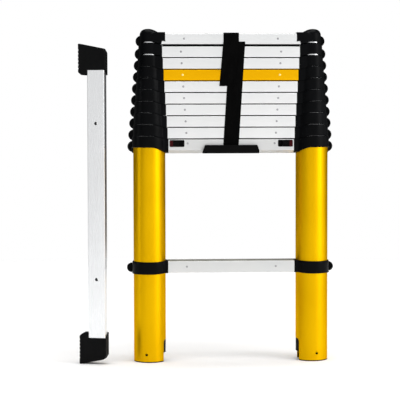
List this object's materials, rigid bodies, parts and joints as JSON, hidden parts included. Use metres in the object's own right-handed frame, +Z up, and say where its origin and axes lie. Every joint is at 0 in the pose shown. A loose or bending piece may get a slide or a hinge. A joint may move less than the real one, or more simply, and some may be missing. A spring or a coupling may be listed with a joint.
{
  "type": "telescopic ladder",
  "caption": "Closed telescopic ladder: nested round stiles, stacked rungs with black collars, a button rung, a closure strap, and a loose stabiliser bar with rubber boots.",
  "frame": {"origin": "on the floor, at the middle of the box around the ladder and its loose bar", "axes": "+Z up along the stiles; -Y is the ladder's front, with the buttons and the handle; +X runs along the rungs, to the right seen from the front"},
  "size_m": [0.6284, 0.0996, 0.8188],
  "materials": {
    "yellow_coat": "amber-yellow metallic coat, satin",
    "bare_aluminium": "brushed, anodised, near white",
    "collar_plastic": "black moulded plastic, satin",
    "button_plastic": "black moulded plastic, ribbed, with a dark red tip",
    "boot_rubber": "black rubber, matt",
    "webbing": "black woven webbing with hook-and-loop faces"
  },
  "bodies": {
    "base": {"stile_left_01": "yellow_coat", "stile_right_01": "yellow_coat", "lower_collar_left": "collar_plastic", "lower_collar_right": "collar_plastic", "lower_rung": "bare_aluminium", "collar_left_01": "collar_plastic", "collar_right_01": "collar_plastic", "button_rung": "bare_aluminium", "carry_handle": "collar_plastic"},
    "section_02": {"stile_left_02": "bare_aluminium", "stile_right_02": "bare_aluminium", "collar_left_02": "collar_plastic", "collar_right_02": "collar_plastic", "rung_02": "bare_aluminium"},
    "section_03": {"stile_left_03": "bare_aluminium", "stile_right_03": "bare_aluminium", "collar_left_03": "collar_plastic", "collar_right_03": "collar_plastic", "rung_03": "bare_aluminium"},
    "section_04": {"stile_left_04": "bare_aluminium", "stile_right_04": "bare_aluminium", "collar_left_04": "collar_plastic", "collar_right_04": "collar_plastic", "rung_04": "bare_aluminium"},
    "section_05": {"stile_left_05": "bare_aluminium", "stile_right_05": "bare_aluminium", "collar_left_05": "collar_plastic", "collar_right_05": "collar_plastic", "rung_05": "bare_aluminium"},
    "section_06": {"stile_left_06": "bare_aluminium", "stile_right_06": "bare_aluminium", "collar_left_06": "collar_plastic", "collar_right_06": "collar_plastic", "rung_06": "bare_aluminium"},
    "section_07": {"stile_left_07": "bare_aluminium", "stile_right_07": "bare_aluminium", "collar_left_07": "collar_plastic", "collar_right_07": "collar_plastic", "rung_07": "yellow_coat"},
    "section_08": {"stile_left_08": "bare_aluminium", "stile_right_08": "bare_aluminium", "collar_left_08": "collar_plastic", "collar_right_08": "collar_plastic", "rung_08": "bare_aluminium"},
    "section_09": {"stile_left_09": "bare_aluminium", "stile_right_09": "bare_aluminium", "collar_left_09": "collar_plastic", "collar_right_09": "collar_plastic", "rung_09": "bare_aluminium"},
    "section_10": {"stile_left_10": "bare_aluminium", "stile_right_10": "bare_aluminium", "cap_left": "collar_plastic", "cap_right": "collar_plastic", "top_rung": "bare_aluminium", "closure_strap": "webbing"},
    "release_left": {"release_button_left": "button_plastic"},
    "release_right": {"release_button_right": "button_plastic"},
    "stabiliser_bar_loose": {"stabiliser_bar": "bare_aluminium", "bar_boot_lower": "boot_rubber", "bar_boot_upper": "boot_rubber"}
  },
  "joints": [
    {"name": "section_02_slide", "type": "slide", "parent": "base", "child": "section_02", "axis": [0, 0, 1], "range_m": [0, 0.2716]},
    {"name": "section_03_slide", "type": "slide", "parent": "section_02", "child": "section_03", "axis": [0, 0, 1], "range_m": [0, 0.2716]},
    {"name": "section_04_slide", "type": "slide", "parent": "section_03", "child": "section_04", "axis": [0, 0, 1], "range_m": [0, 0.2716]},
    {"name": "section_05_slide", "type": "slide", "parent": "section_04", "child": "section_05", "axis": [0, 0, 1], "range_m": [0, 0.2716]},
    {"name": "section_06_slide", "type": "slide", "parent": "section_05", "child": "section_06", "axis": [0, 0, 1], "range_m": [0, 0.2716]},
    {"name": "section_07_slide", "type": "slide", "parent": "section_06", "child": "section_07", "axis": [0, 0, 1], "range_m": [0, 0.2716]},
    {"name": "section_08_slide", "type": "slide", "parent": "section_07", "child": "section_08", "axis": [0, 0, 1], "range_m": [0, 0.2716]},
    {"name": "section_09_slide", "type": "slide", "parent": "section_08", "child": "section_09", "axis": [0, 0, 1], "range_m": [0, 0.2716]},
    {"name": "section_10_slide", "type": "slide", "parent": "section_09", "child": "section_10", "axis": [0, 0, 1], "range_m": [0, 0.2684]},
    {"name": "release_left_press", "type": "slide", "parent": "base", "child": "release_left", "axis": [1, 0, 0], "range_m": [0, 0.011], "stiffness_N_per_m": 300, "springref_m": -0.012},
    {"name": "release_right_press", "type": "slide", "parent": "base", "child": "release_right", "axis": [-1, 0, 0], "range_m": [0, 0.011], "stiffness_N_per_m": 300, "springref_m": -0.012},
    {"name": "stabiliser_bar_away", "type": "slide", "parent": "base", "child": "stabiliser_bar_loose", "axis": [-1, 0, 0], "range_m": [0, 0.3]}
  ]
}
